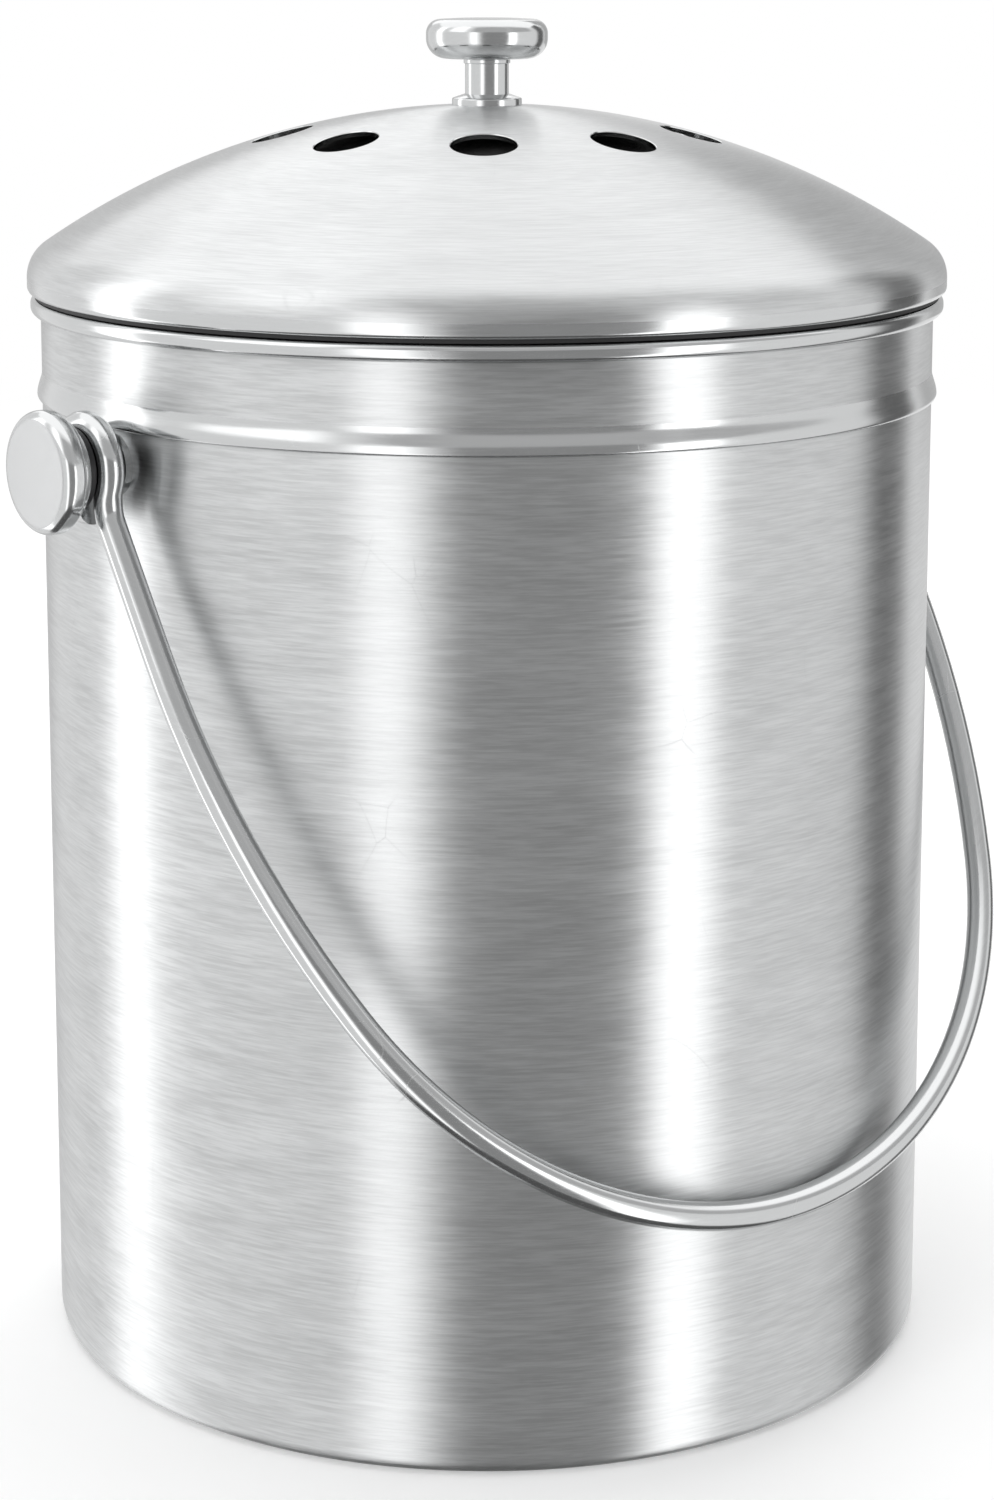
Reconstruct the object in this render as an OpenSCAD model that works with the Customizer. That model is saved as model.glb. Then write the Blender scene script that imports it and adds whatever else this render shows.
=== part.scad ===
// Countertop compost pail: drawn steel pail, swinging wire bail, lift-off domed
// vent lid with a knob, and a pull-out filter holder under the lid.
// Millimetres. +Z is up, the origin is the centre of the flat base, the bail's
// pivots lie along X, and the bail leans on the pail's -Y side.

/* [Pail] */
// Outer radius of the pail's straight wall
pail_r = 90; // [80:0.5:100]
// Height of the rolled rim's top above the base
pail_h = 212.4; // [190:0.2:230]
// Thickness of the pail's sheet
pail_sheet = 0.8; // [0.6:0.1:1]
// Outer radius of the corner between wall and base
base_corner_r = 3; // [2:0.5:6]
// How far the rolled rim stands out past the wall
rim_out = 2; // [1.4:0.1:2.4]
// Height of the rolled rim
rim_h = 3.4; // [3:0.1:4.4]
// Drop from the rim's top to the middle of the pressed rib
rib_drop = 17.7; // [14:0.1:18]
// Height of the pressed rib
rib_h = 5.2; // [4:0.2:6]
// How far the pressed rib stands out past the wall
rib_out = 1; // [0.8:0.1:1.2]

/* [Pivots] */
// Drop from the rim's top to the bail's pivot axis
pivot_drop = 26.9; // [26.4:0.1:34]
// Radius of the post that carries the bail's eye
post_r = 3.1; // [2.8:0.1:3.4]
// Radius of the post's foot on the wall
post_foot_r = 6; // [5:0.25:6.2]
// Thickness of the post's foot
post_foot_t = 1.3; // [1:0.1:1.8]
// Wall of the black bush inside the eye
bush_wall = 2.1; // [1.6:0.1:2.6]
// Radius of the bush's flange
bush_flange_r = 7.9; // [7.4:0.1:8.4]
// Thickness of the bush's flange
bush_flange_t = 1.5; // [1:0.1:2]
// Radius of the pivot cap's disc
cap_r = 11.6; // [11.4:0.1:13]
// Thickness of the pivot cap's disc
cap_disc_t = 4.6; // [4.4:0.1:6]
// Radius of the rounding on the disc's outer edge
cap_edge_r = 2.2; // [1.4:0.1:2.6]
// Height of each of the two steps behind the disc
cap_step_t = 1.2; // [1:0.1:1.4]
// How much smaller in radius each step is than the one in front
cap_step_in = 1.4; // [1:0.1:1.6]
// Radius of the pivot screw's shank
pivot_screw_r = 2; // [1.6:0.1:2.2]
// Radius of the pivot screw's head
pivot_head_r = 4.4; // [4:0.1:4.8]
// Height of the pivot screw's head
pivot_head_h = 1.6; // [1.4:0.1:1.8]
// Radius of the backing washer inside the wall
backing_r = 5.5; // [5:0.1:6]
// Thickness of the backing washer
backing_t = 0.8; // [0.6:0.1:1]

/* [Bail] */
// Radius of the bail's wire
wire_r = 2.7; // [2.2:0.1:2.8]
// Gap between the upright bail and the lid's skirt
bail_lid_gap = 0.7; // [0.5:0.1:3]
// How far the arms run in front of the pivot axis
arm_offset = 1.5; // [1:0.25:2.5]
// Radius of the small bend between eye and arm
neck_r = 8; // [6:0.5:10]
// Opening angle of the eye's loop, from the neck back to the wire's end
eye_gap_angle = 58.5; // [56:0.5:70]
// Straight length of each arm, measured from the pivot axis
arm_len = 40; // [30:1:50]
// Radius of the gentle curve below each arm
bail_side_r = 190; // [160:1:220]
// Angle of the gentle curve
bail_side_angle = 22.5; // [18:0.5:26]

/* [Lid] */
// How far the lid's skirt stands out past the pail's wall
lid_overhang = 2.6; // [2.2:0.1:3.4]
// Height of the skirt, from the hem up to the shoulder's curve
skirt_h = 2.9; // [2.5:0.1:6]
// Radius of the dome's curve
dome_r = 159; // [150:1:170]
// Radius of the rolled shoulder between dome and skirt
shoulder_r = 7.7; // [6:0.1:9]
// Thickness of the lid's sheet
lid_sheet = 1; // [0.8:0.1:1.2]
// Radius of the hem's lower corner
hem_corner_r = 1.2; // [1.1:0.1:1.6]
// Number of vent holes
vent_count = 9; // [6:1:12]
// Radius of each vent hole
vent_r = 6.4; // [4:0.1:7]
// Distance of the vent holes from the lid's axis
vent_circle_r = 41.5; // [36:0.5:50]
// Turn of the ring of vent holes, measured from +X
vent_turn = 230; // [200:1:240]
// Gap between the lid and the pail's rim
rim_gap = 0.8; // [0.6:0.1:1.2]
// Running clearance between the seal and the rim
seal_clearance = 0.1; // [0.05:0.05:0.3]
// How far the seal lies inside the skirt
seal_inset = 1.3; // [1.3:0.1:1.8]
// Width of the seal
seal_w = 3.2; // [2.4:0.1:3.6]

/* [Filter] */
// Clearance between the lid's inner ring and the pail's mouth
ring_clearance = 2.2; // [2.1:0.1:3]
// Thickness of the inner ring's sheet
ring_sheet = 0.8; // [0.6:0.1:1]
// How far the inner ring reaches below the hem
ring_depth = 10; // [6:0.5:12]
// Width of the inner ring's welded flange
ring_flange_w = 3.6; // [2.6:0.1:4]
// Clearance between the filter tray and the inner ring
tray_clearance = 0.3; // [0.2:0.05:0.5]
// Thickness of the filter tray's wall
tray_wall = 1.5; // [1.2:0.1:2]
// Height of the filter tray's wall
tray_h = 14.4; // [12:0.2:16]
// Thickness of the tray's domed grille
grille_t = 2; // [1.6:0.1:2.6]
// Number of spokes in the grille
spoke_count = 8; // [6:1:12]
// Width of each spoke and ring of the grille
spoke_w = 4; // [3:0.5:5]
// Number of rings between the grille's hub and its edge
grille_ring_count = 3; // [2:1:4]
// Radius of the tray's finger pull
pull_r = 8; // [6:0.5:10]
// Length of the tray's finger pull
pull_len = 14; // [10:1:18]
// Thickness of the finger pull's flange
pull_flange_t = 3; // [2:0.5:4]
// How much smaller in radius the pull's neck is than its flange
pull_neck_in = 2; // [1:0.5:3]
// Thickness of the foam filter
foam_t = 3; // [2:0.5:4]
// Thickness of the carbon filter
carbon_t = 7; // [5:0.5:8]
// Space between the carbon filter and the dome
filter_air_gap = 3; // [2.5:0.5:5]
// Clearance around and between the filters
filter_clearance = 0.3; // [0.2:0.05:0.5]
// Room left in the filters around the washer of the knob's screw
screw_room = 3; // [2:0.5:5]

/* [Knob] */
// Radius of the knob's cap
knob_r = 12.25; // [10:0.25:14]
// Height of the knob's cap
knob_h = 8.1; // [7.6:0.1:10]
// Radius of the rounding on the cap's upper edge
knob_top_edge_r = 2.8; // [2:0.1:3.4]
// Radius of the rounding on the cap's lower edge
knob_low_edge_r = 4; // [3:0.1:4.1]
// Radius of the knob's stem
stem_r = 4.7; // [4:0.1:5.4]
// Length of the knob's stem
stem_h = 7.1; // [6:0.1:10]
// Radius of the knob's collar
collar_r = 7.05; // [6.5:0.05:8]
// Height of the knob's collar above the dome's top
collar_h = 2; // [1.6:0.1:3]
// Radius of the knob screw's shank
knob_screw_r = 2; // [1.6:0.1:2.4]
// Radius of the knob screw's head
knob_head_r = 4; // [3.6:0.1:4.6]
// Height of the knob screw's head
knob_head_h = 2.4; // [2:0.1:2.6]
// Radius of the washer under the knob screw's head
knob_washer_r = 5.4; // [5:0.1:6]
// Thickness of the washer under the knob screw's head
knob_washer_t = 0.8; // [0.6:0.1:1]

/* [Fits] */
// Radial clearance of the bail's eye on its bush
eye_clearance = 0.1; // [0.05:0.01:0.1]
// Gap between the leaning bail and the pail's wall
bail_rest_gap = 0.3; // [0.2:0.05:0.6]
// Sideways gap between the eye and the bush's flange
eye_side_gap = 0.2; // [0.1:0.05:0.3]
// Radial clearance of a screw in a drilled hole
screw_clearance = 0.2; // [0.1:0.05:0.3]
// Small gap between a flat washer and a curved sheet
washer_gap = 0.08; // [0.04:0.02:0.16]
// Gap between the hem's edge and the inner ring that stands in it
hem_gap = 0.1; // [0.05:0.05:0.3]
// Width of the seam left open under the rim's curl
rim_seam = 0.4; // [0.3:0.05:0.5]
// How far the tray sits up inside the inner ring
tray_inset = 1.4; // [0.2:0.1:2]

/* [Hidden] */

$fn = 96;
far = 400;          // longer than any cut has to be
cut = 0.5;          // how far a cut runs past a face
joint_swell = 0.03; // how much wider a wire joint is than the wire
least_r = 0.1;      // the sharpest bend inside a folded sheet

// Pail
pail_bore_r = pail_r - pail_sheet;
rim_roll_r = (pail_sheet + rim_out) / 2;
rim_roll_x = pail_bore_r + rim_roll_r;
rib_curve_r = (rib_h * rib_h / 4 + rib_out * rib_out) / (2 * rib_out);
rib_z = pail_h - rib_drop;

// Pivots: distances along the pivot axis from the pail's axis
lid_r = pail_r + lid_overhang;
pivot_z = pail_h - pivot_drop;
eye_x = lid_r + bail_lid_gap + wire_r;
flange_x = eye_x + wire_r + eye_side_gap;
bush_start_x = eye_x - wire_r - eye_side_gap;
cap_x = flange_x + bush_flange_t;
disc_x = cap_x + 2 * cap_step_t;
bush_r = post_r + bush_wall;
backing_x = sqrt(pail_bore_r * pail_bore_r - backing_r * backing_r) - washer_gap;
head_x = backing_x - backing_t;
pivot_screw_end_x = disc_x + cap_disc_t / 2;

// Bail: the eye's middle radius, the neck's centre, then the curved grip
eye_mid_r = bush_r + eye_clearance + wire_r;
neck_y = arm_offset + neck_r;
neck_z = sqrt(pow(eye_mid_r + neck_r, 2) - neck_y * neck_y);
neck_angle = acos(neck_z / (eye_mid_r + neck_r));
grip_r = bail_side_r - (bail_side_r - eye_x) / cos(bail_side_angle);
grip_drop = arm_len + (bail_side_r - grip_r) * sin(bail_side_angle);
bail_len = grip_drop + grip_r;
bail_reach = sqrt(bail_len * bail_len + arm_offset * arm_offset);
bail_tilt = asin((pail_r + wire_r + bail_rest_gap) / bail_reach) - atan(arm_offset / bail_len);

// Lid
hem_z = pail_h + rim_gap;
shoulder_x = lid_r - shoulder_r;
shoulder_z = hem_z + skirt_h;
dome_centre_z = shoulder_z - sqrt(pow(dome_r - shoulder_r, 2) - shoulder_x * shoulder_x);
seal_r = lid_r - seal_inset;

// Inner ring and filters
ring_r = pail_bore_r - ring_clearance;
ring_bore_r = ring_r - ring_sheet;
ring_top_z = hem_z + lid_sheet + ring_sheet;
ring_low_z = hem_z - ring_depth;
tray_r = ring_bore_r - tray_clearance;
tray_bore_r = tray_r - tray_wall;
tray_low_z = ring_low_z + tray_inset;
filter_r = tray_bore_r - filter_clearance;
carbon_top_r = dome_r - lid_sheet - filter_air_gap;
foam_top_r = carbon_top_r - carbon_t - filter_clearance;
grille_top_r = foam_top_r - foam_t - filter_clearance;
screw_room_r = knob_washer_r + screw_room;

// Knob
knob_seat_z = dome_centre_z + dome_r + collar_h;
knob_cap_z = knob_seat_z + stem_h;
knob_screw_end_z = knob_cap_z + knob_h / 2;
dome_under_z = dome_centre_z + sqrt(pow(dome_r - lid_sheet, 2) - knob_washer_r * knob_washer_r);
knob_washer_z = dome_under_z - washer_gap - knob_washer_t;
knob_head_z = knob_washer_z - knob_head_h;

// A rectangle in the half-plane that is turned about the pail's axis
module band(r0, r1, z0, z1) {
  translate([r0, z0])
    square([r1 - r0, z1 - z0]);
}

// A washer or sleeve about Z
module sleeve(r_in, r_out, z0, z1) {
  rotate_extrude()
    band(r_in, r_out, z0, z1);
}

// Puts something made along Z onto the pivot axis; side is 1 for +X, -1 for -X
module on_pivot(side) {
  mirror([side < 0 ? 1 : 0, 0, 0])
    translate([0, 0, pivot_z])
      rotate([0, 90, 0])
        children();
}

// ---- Pail -------------------------------------------------------------------

// Half section of the wall, base corner and floor
module pail_wall_section() {
  band(0, pail_r - base_corner_r, 0, pail_sheet);
  band(pail_bore_r, pail_r, base_corner_r, pail_h - rim_h / 2);
  intersection() {
    translate([pail_r - base_corner_r, base_corner_r])
      difference() {
        circle(r = base_corner_r);
        circle(r = base_corner_r - pail_sheet);
      }
    band(pail_r - base_corner_r, pail_r, 0, base_corner_r);
  }
}

// Half section of the rolled rim, one outline of the roll
module rim_outline(r) {
  low_z = pail_h - rim_h + rim_roll_r;
  top_z = pail_h - rim_roll_r;
  translate([rim_roll_x, low_z])
    circle(r = r);
  translate([rim_roll_x, top_z])
    circle(r = r);
  band(rim_roll_x - r, rim_roll_x + r, low_z, top_z);
}

// The curl of the rim is hollow, and its seam faces down beside the wall
module rim_hollow() {
  rim_outline(rim_roll_r - pail_sheet);
  band(pail_r, pail_r + rim_seam, pail_h - rim_h - cut, pail_h - rim_h + rim_roll_r);
}

module pail_section() {
  rib_centre_r = pail_r + rib_out - rib_curve_r;
  difference() {
    union() {
      pail_wall_section();
      rim_outline(rim_roll_r);
      intersection() {
        translate([rib_centre_r, rib_z])
          circle(r = rib_curve_r);
        band(pail_bore_r, pail_r + rib_out, rib_z - rib_h, rib_z + rib_h);
      }
    }
    rim_hollow();
    translate([rib_centre_r, rib_z])
      circle(r = rib_curve_r - pail_sheet);
  }
}

module pail_body() {
  color("silver")
    difference() {
      rotate_extrude()
        pail_section();
      for (side = [-1, 1])
        on_pivot(side)
          translate([0, 0, pail_bore_r - cut])
            cylinder(r = pivot_screw_r + screw_clearance, h = pail_sheet + 2 * cut);
    }
}

// ---- Bail pivots ------------------------------------------------------------

module pivot_post(side) {
  color("gainsboro")
    difference() {
      on_pivot(side) {
        sleeve(pivot_screw_r + screw_clearance, post_foot_r, pail_r - cut, pail_r + post_foot_t);
        sleeve(pivot_screw_r + screw_clearance, post_r, pail_r + post_foot_t, cap_x);
      }
      cylinder(r = pail_r, h = far, $fn = 720);
    }
}

module eye_bush(side) {
  color("black")
    on_pivot(side)
      rotate_extrude() {
        band(post_r, bush_r, bush_start_x, flange_x);
        band(post_r, bush_flange_r, flange_x, cap_x);
      }
}

// Half section of the cap: a rounded disc with two smaller steps behind it
module cap_section() {
  end_x = disc_x + cap_disc_t;
  back_edge_r = cap_edge_r / 2;
  band(0, cap_r - 2 * cap_step_in, cap_x, disc_x);
  band(0, cap_r - cap_step_in, cap_x + cap_step_t, disc_x);
  band(0, cap_r - cap_edge_r, disc_x, end_x);
  band(0, cap_r, disc_x + back_edge_r, end_x - cap_edge_r);
  band(0, cap_r - back_edge_r, disc_x, end_x - cap_edge_r);
  translate([cap_r - cap_edge_r, end_x - cap_edge_r])
    circle(r = cap_edge_r);
  translate([cap_r - back_edge_r, disc_x + back_edge_r])
    circle(r = back_edge_r);
}

module pivot_cap(side) {
  color("whitesmoke")
    on_pivot(side)
      difference() {
        rotate_extrude()
          cap_section();
        translate([0, 0, cap_x - cut])
          cylinder(r = pivot_screw_r, h = pivot_screw_end_x - cap_x + cut);
      }
}

// Pan head inside the pail, with a cross recess
module pivot_screw(side) {
  recess_w = 0.9;
  recess_l = 4;
  color("lightgray")
    on_pivot(side)
      difference() {
        union() {
          sleeve(0, pivot_head_r, head_x - pivot_head_h, head_x);
          sleeve(0, pivot_screw_r, head_x, pivot_screw_end_x);
        }
        for (turn = [0, 90])
          rotate(turn)
            translate([-recess_l / 2, -recess_w / 2, head_x - pivot_head_h - cut])
              cube([recess_l, recess_w, pivot_head_h / 2 + cut]);
      }
}

module backing_washer(side) {
  color("gray")
    on_pivot(side)
      sleeve(pivot_screw_r + screw_clearance, backing_r, head_x, backing_x);
}

// ---- Bail -------------------------------------------------------------------

// A bent length of wire about Z, starting at angle a0 from +X
module wire_bend(bend_r, a0, sweep) {
  rotate(a0)
    rotate_extrude(angle = sweep)
      translate([bend_r, 0])
        circle(r = wire_r);
}

// A ball, a hair wider than the wire, closes the seam between two lengths of it
module wire_joint(x, y, z) {
  translate([x, y, z])
    sphere(r = wire_r + joint_swell);
}

// One arm hanging straight down from the pivot axis, at +X: loop, neck, arm, curve
module bail_side() {
  translate([eye_x, 0, 0])
    rotate([0, 90, 0])
      wire_bend(eye_mid_r, eye_gap_angle - neck_angle, 360 - eye_gap_angle);
  wire_joint(eye_x, -eye_mid_r * sin(neck_angle), -eye_mid_r * cos(neck_angle));
  translate([eye_x, -neck_y, -neck_z])
    rotate([0, 90, 0])
      wire_bend(neck_r, 90, 90 - neck_angle);
  wire_joint(eye_x, -arm_offset, -neck_z);
  translate([eye_x, -arm_offset, -arm_len])
    cylinder(r = wire_r, h = arm_len - neck_z);
  wire_joint(eye_x, -arm_offset, -arm_len);
  translate([eye_x - bail_side_r, -arm_offset, -arm_len])
    rotate([90, 0, 0])
      wire_bend(bail_side_r, -bail_side_angle, bail_side_angle);
  wire_joint(grip_r * cos(bail_side_angle), -arm_offset, -grip_drop - grip_r * sin(bail_side_angle));
}

module bail_wire() {
  color("lightgray")
    translate([0, 0, pivot_z])
      rotate([-bail_tilt, 0, 0]) {
        bail_side();
        mirror([1, 0, 0])
          bail_side();
        translate([0, -arm_offset, -grip_drop])
          rotate([90, 0, 0])
            wire_bend(grip_r, bail_side_angle - 180, 180 - 2 * bail_side_angle);
      }
}

// ---- Lid --------------------------------------------------------------------

// Half section of the solid under the lid's outer skin, set in by d
module lid_outline(d) {
  low_z = hem_z + d;
  corner_r = max(hem_corner_r - d, least_r);
  skirt_r = lid_r - d;
  dome_end_r = shoulder_x * (dome_r - d) / (dome_r - shoulder_r);
  intersection() {
    translate([0, dome_centre_z])
      circle(r = dome_r - d, $fn = 360);
    band(0, dome_end_r, low_z, far);
  }
  intersection() {
    translate([shoulder_x, shoulder_z])
      circle(r = shoulder_r - d);
    band(shoulder_x, skirt_r, low_z + corner_r, far);
  }
  band(0, skirt_r, low_z + corner_r, shoulder_z);
  band(0, skirt_r - corner_r, low_z, shoulder_z);
  translate([skirt_r - corner_r, low_z + corner_r])
    circle(r = corner_r);
}

module lid_dome() {
  hem_bore_r = ring_r + hem_gap;
  color("silver")
    difference() {
      rotate_extrude()
        difference() {
          lid_outline(0);
          lid_outline(lid_sheet);
          band(0, hem_bore_r, hem_z - cut, hem_z + lid_sheet + cut);
        }
      for (i = [0 : vent_count - 1])
        rotate(vent_turn + i * 360 / vent_count)
          vent_cutter();
      translate([0, 0, knob_head_z])
        cylinder(r = knob_screw_r + screw_clearance, h = knob_seat_z - knob_head_z);
    }
}

// A vent hole is drilled square to the dome
module vent_cutter() {
  translate([0, 0, dome_centre_z])
    rotate([0, asin(vent_circle_r / dome_r), 0])
      translate([0, 0, dome_r - lid_sheet - cut])
        cylinder(r = vent_r, h = lid_sheet + 2 * cut);
}

module lid_inner_ring() {
  flange_z = hem_z + lid_sheet;
  color("darkgray")
    rotate_extrude() {
      band(ring_bore_r, ring_r, ring_low_z, ring_top_z);
      band(ring_bore_r, ring_bore_r + ring_flange_w, flange_z, ring_top_z);
    }
}

module lid_seal() {
  color("black")
    sleeve(seal_r - seal_w, seal_r, pail_h + seal_clearance, hem_z);
}

// ---- Knob -------------------------------------------------------------------

// Half section of the knob's cap, standing on z = 0
module knob_section() {
  band(0, knob_r - knob_low_edge_r, 0, knob_h);
  band(0, knob_r, knob_low_edge_r, knob_h - knob_top_edge_r);
  band(0, knob_r - knob_top_edge_r, knob_low_edge_r, knob_h);
  translate([knob_r - knob_low_edge_r, knob_low_edge_r])
    circle(r = knob_low_edge_r);
  translate([knob_r - knob_top_edge_r, knob_h - knob_top_edge_r])
    circle(r = knob_top_edge_r);
}

module knob_cap() {
  color("whitesmoke")
    difference() {
      translate([0, 0, knob_cap_z])
        rotate_extrude()
          knob_section();
      translate([0, 0, knob_cap_z - cut])
        cylinder(r = knob_screw_r, h = knob_screw_end_z - knob_cap_z + cut);
    }
}

module knob_stem() {
  color("whitesmoke")
    sleeve(knob_screw_r + screw_clearance, stem_r, knob_seat_z, knob_cap_z);
}

// The collar's underside is hollowed to sit on the dome
module knob_collar() {
  color("gainsboro")
    difference() {
      sleeve(knob_screw_r + screw_clearance, collar_r, knob_seat_z - 2 * collar_h, knob_seat_z);
      translate([0, 0, dome_centre_z])
        rotate_extrude()
          intersection() {
            circle(r = dome_r, $fn = 360);
            band(0, dome_r, 0, dome_r);
          }
    }
}

module knob_screw() {
  color("lightgray") {
    sleeve(0, knob_head_r, knob_head_z, knob_washer_z);
    sleeve(0, knob_screw_r, knob_washer_z, knob_screw_end_z);
  }
}

module knob_washer() {
  color("gray")
    sleeve(knob_screw_r + screw_clearance, knob_washer_r, knob_washer_z, knob_washer_z + knob_washer_t);
}

// ---- Filter -----------------------------------------------------------------

// Half section of a layer that follows the dome, from radius r0 out to r1
module domed_layer(top_r, t, r0, r1) {
  intersection() {
    translate([0, dome_centre_z])
      difference() {
        circle(r = top_r, $fn = 360);
        circle(r = top_r - t, $fn = 360);
      }
    band(r0, r1, tray_low_z, far);
  }
}

module filter_tray() {
  ring_step = (tray_bore_r - pull_r) / (grille_ring_count + 1);
  pull_low_z = dome_centre_z + grille_top_r - grille_t / 2 - pull_len;
  color("dimgray") {
    rotate_extrude() {
      band(tray_bore_r, tray_r, tray_low_z, tray_low_z + tray_h);
      domed_layer(grille_top_r, grille_t, tray_bore_r - spoke_w, tray_bore_r + tray_wall / 2);
      domed_layer(grille_top_r, grille_t, 0, pull_r + spoke_w);
      for (i = [1 : grille_ring_count])
        let (ring_r = pull_r + i * ring_step)
          domed_layer(grille_top_r, grille_t, ring_r - spoke_w / 2, ring_r + spoke_w / 2);
      band(0, pull_r - pull_neck_in, pull_low_z, pull_low_z + pull_len);
      band(0, pull_r, pull_low_z, pull_low_z + pull_flange_t);
    }
    intersection() {
      rotate_extrude()
        domed_layer(grille_top_r, grille_t, 0, tray_bore_r + tray_wall / 2);
      for (i = [0 : spoke_count - 1])
        rotate(i * 360 / spoke_count)
          translate([0, -spoke_w / 2, 0])
            cube([tray_r, spoke_w, far]);
    }
  }
}

module foam_filter() {
  color("slategray")
    rotate_extrude()
      domed_layer(foam_top_r, foam_t, screw_room_r, filter_r);
}

module carbon_filter() {
  color("black")
    rotate_extrude()
      domed_layer(carbon_top_r, carbon_t, screw_room_r, filter_r);
}

pail_body();
pivot_post(-1);  // left_pivot_post
pivot_post(1);  // right_pivot_post
eye_bush(-1);  // left_eye_bush
eye_bush(1);  // right_eye_bush
pivot_cap(-1);  // left_pivot_cap
pivot_cap(1);  // right_pivot_cap
pivot_screw(-1);  // left_pivot_screw
pivot_screw(1);  // right_pivot_screw
backing_washer(-1);  // left_backing_washer
backing_washer(1);  // right_backing_washer
bail_wire();
lid_dome();
lid_inner_ring();
lid_seal();
knob_cap();
knob_stem();
knob_collar();
knob_screw();
knob_washer();
filter_tray();
foam_filter();
carbon_filter();
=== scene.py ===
"""Countertop compost pail: finishes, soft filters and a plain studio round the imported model.

Metres throughout. +Z is up, the origin is the centre of the pail's base, the bail's pivots
lie along X, and the bail leans on the pail's -Y side.
"""

import logging
import math
from collections.abc import Callable
from dataclasses import dataclass, field
from enum import Enum
from functools import cache

import bpy
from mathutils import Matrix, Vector


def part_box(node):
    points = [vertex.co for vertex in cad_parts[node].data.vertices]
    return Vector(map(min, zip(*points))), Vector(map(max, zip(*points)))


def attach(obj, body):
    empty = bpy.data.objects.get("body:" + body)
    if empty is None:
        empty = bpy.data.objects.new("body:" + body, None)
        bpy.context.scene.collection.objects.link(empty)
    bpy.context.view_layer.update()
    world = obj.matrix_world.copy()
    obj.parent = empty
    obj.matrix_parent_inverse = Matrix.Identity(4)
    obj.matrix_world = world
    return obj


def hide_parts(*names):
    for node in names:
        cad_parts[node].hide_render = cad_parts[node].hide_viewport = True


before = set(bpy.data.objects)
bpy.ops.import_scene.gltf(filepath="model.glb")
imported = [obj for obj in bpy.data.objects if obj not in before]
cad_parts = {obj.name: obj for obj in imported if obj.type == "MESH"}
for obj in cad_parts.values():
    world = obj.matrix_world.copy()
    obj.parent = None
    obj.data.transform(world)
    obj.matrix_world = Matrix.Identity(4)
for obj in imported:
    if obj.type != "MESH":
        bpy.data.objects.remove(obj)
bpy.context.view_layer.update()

log = logging.getLogger("compost_pail")

Colour = tuple[float, float, float]

MM = 0.001
# A line that is shorter than the first is left out, and points within the second are merged.
SAME_POINT = 0.0001 * MM
MERGE_WITHIN = 0.001 * MM
PIVOT_HEIGHT = 185.5 * MM
PHOTO_SIZE = (994, 1500)

# Directions in a half section, in degrees above the outward one.
DOWN, OUT, UP, IN = -90.0, 0.0, 90.0, 180.0


class Axis(Enum):
    """The axis that a finish's brushing lines run round."""

    X = "X"
    Z = "Z"


# ---- Node trees --------------------------------------------------------------


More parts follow.
